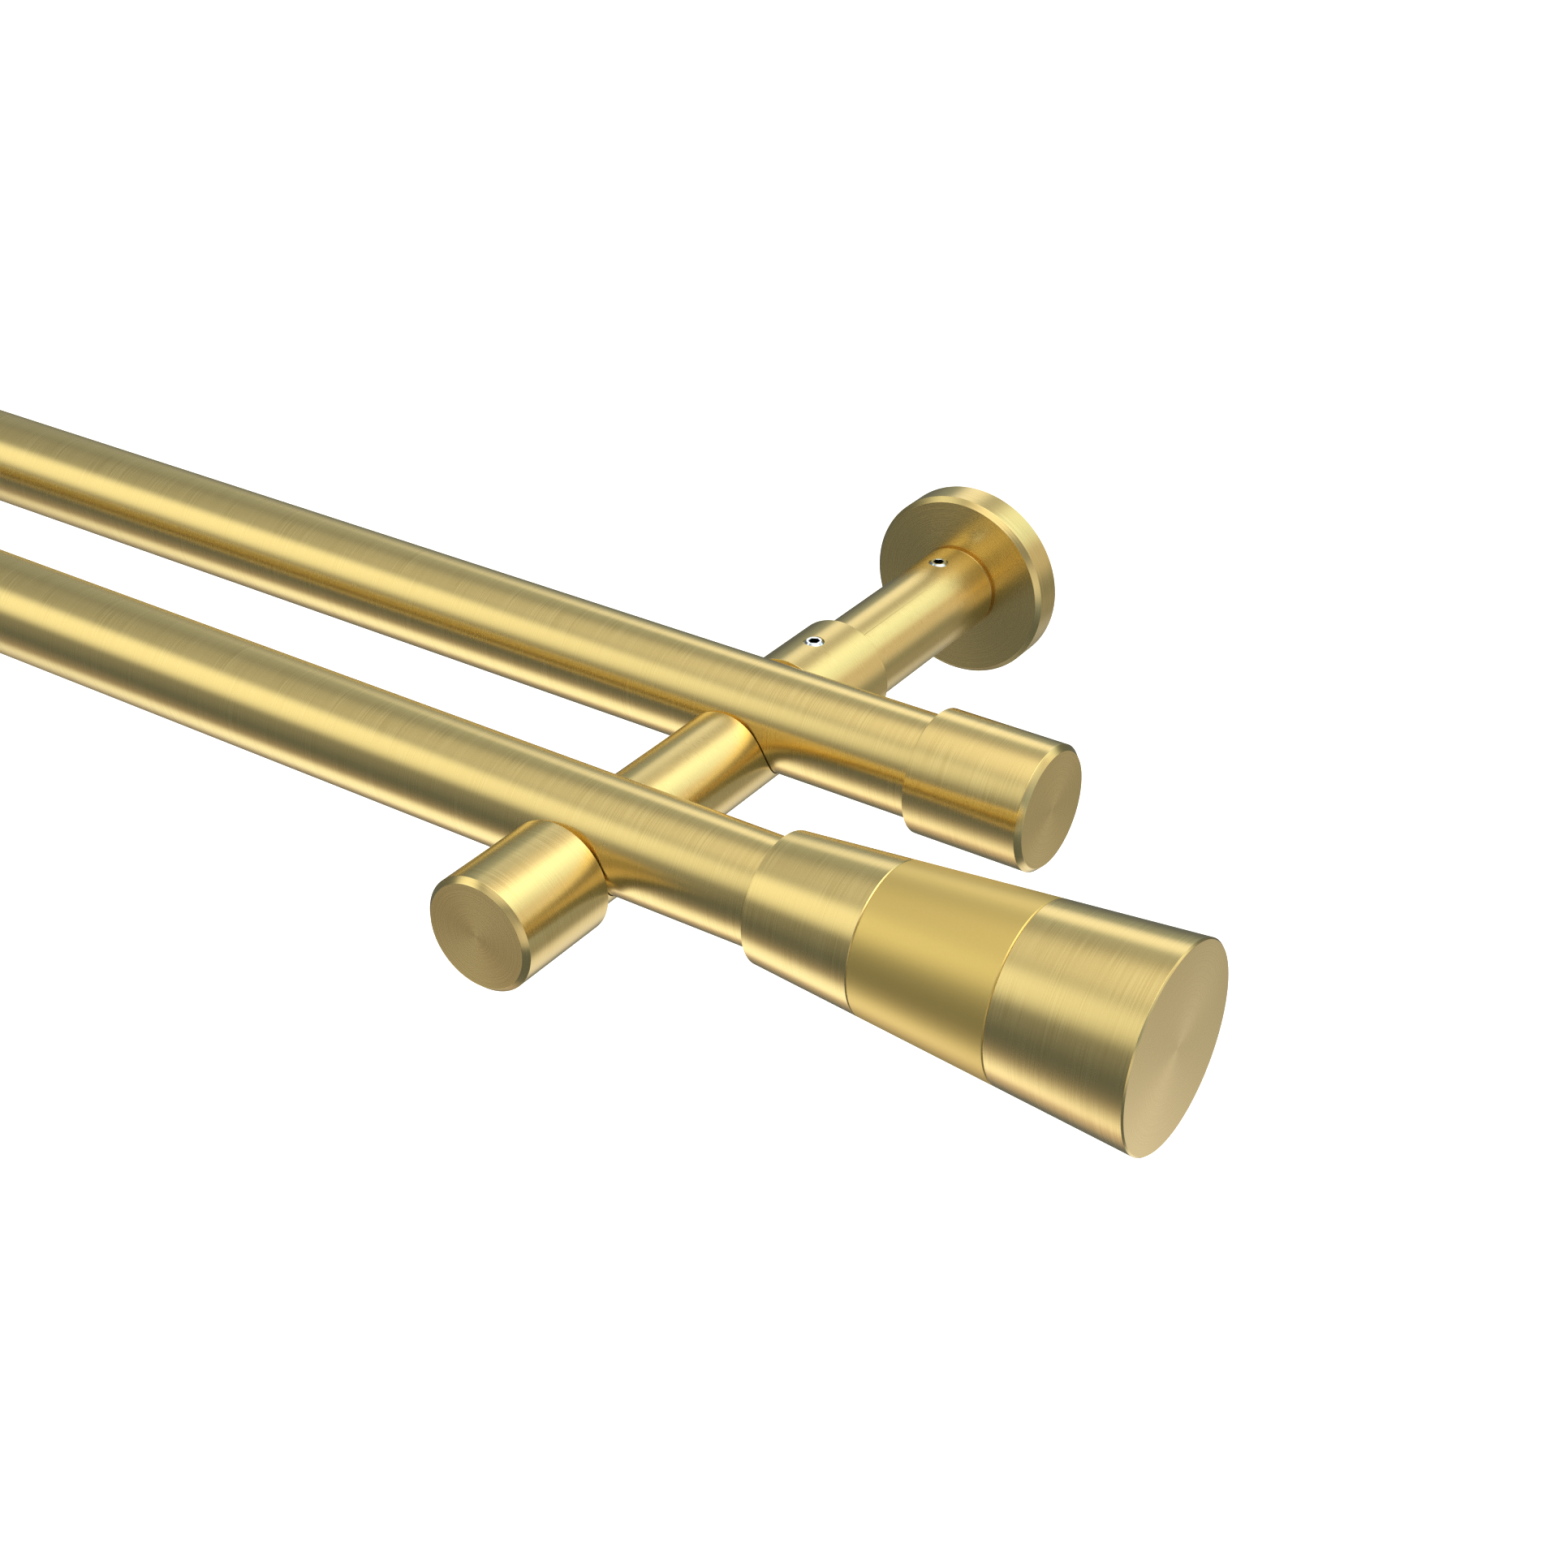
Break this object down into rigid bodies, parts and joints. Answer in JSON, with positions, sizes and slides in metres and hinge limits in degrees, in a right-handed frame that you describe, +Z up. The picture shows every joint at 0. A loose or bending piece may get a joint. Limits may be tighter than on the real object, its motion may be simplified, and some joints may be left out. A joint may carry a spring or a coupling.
{
  "type": "curtain rod",
  "caption": "Wall-mounted curtain rod with a front and a rear tube in notched round brackets, banded conical finials on the front tube and plain caps on the rear tube, in brushed brass.",
  "frame": {"origin": "on the wall plane, midway between the two flange holes and level with the bracket arms", "axes": "+X along the tubes, +Y into the wall, +Z up; the tubes lie on the -Y side, the longer finial tube in front"},
  "size_m": [1.1146, 0.1642, 0.043],
  "materials": {
    "brushed_brass": "brushed around each turned piece, matt clear lacquer",
    "satin_brass": "smooth satin, slightly yellower than the brushed pieces",
    "chromed_steel": "bright",
    "zinc_plated_steel": "bright zinc plating"
  },
  "bodies": {
    "root": {"front_tube": "brushed_brass", "rear_tube": "brushed_brass", "wall_flange_right": "brushed_brass", "wall_flange_left": "brushed_brass", "stem_right": "brushed_brass", "stem_left": "brushed_brass", "stem_screw_right": "chromed_steel", "stem_screw_left": "chromed_steel", "bracket_arm_right": "brushed_brass", "bracket_arm_left": "brushed_brass", "sleeve_screw_right": "chromed_steel", "sleeve_screw_left": "chromed_steel", "front_hold_screw_right": "zinc_plated_steel", "front_hold_screw_left": "zinc_plated_steel", "rear_hold_screw_right": "zinc_plated_steel", "rear_hold_screw_left": "zinc_plated_steel", "finial_base_right": "brushed_brass", "finial_base_left": "brushed_brass", "finial_band_right": "satin_brass", "finial_band_left": "satin_brass", "finial_tip_right": "brushed_brass", "finial_tip_left": "brushed_brass", "finial_stud_right": "zinc_plated_steel", "finial_stud_left": "zinc_plated_steel", "finial_screw_right": "chromed_steel", "finial_screw_left": "chromed_steel", "end_cap_right": "brushed_brass", "end_cap_left": "brushed_brass", "cap_screw_right": "chromed_steel", "cap_screw_left": "chromed_steel"}
  },
  "joints": []
}
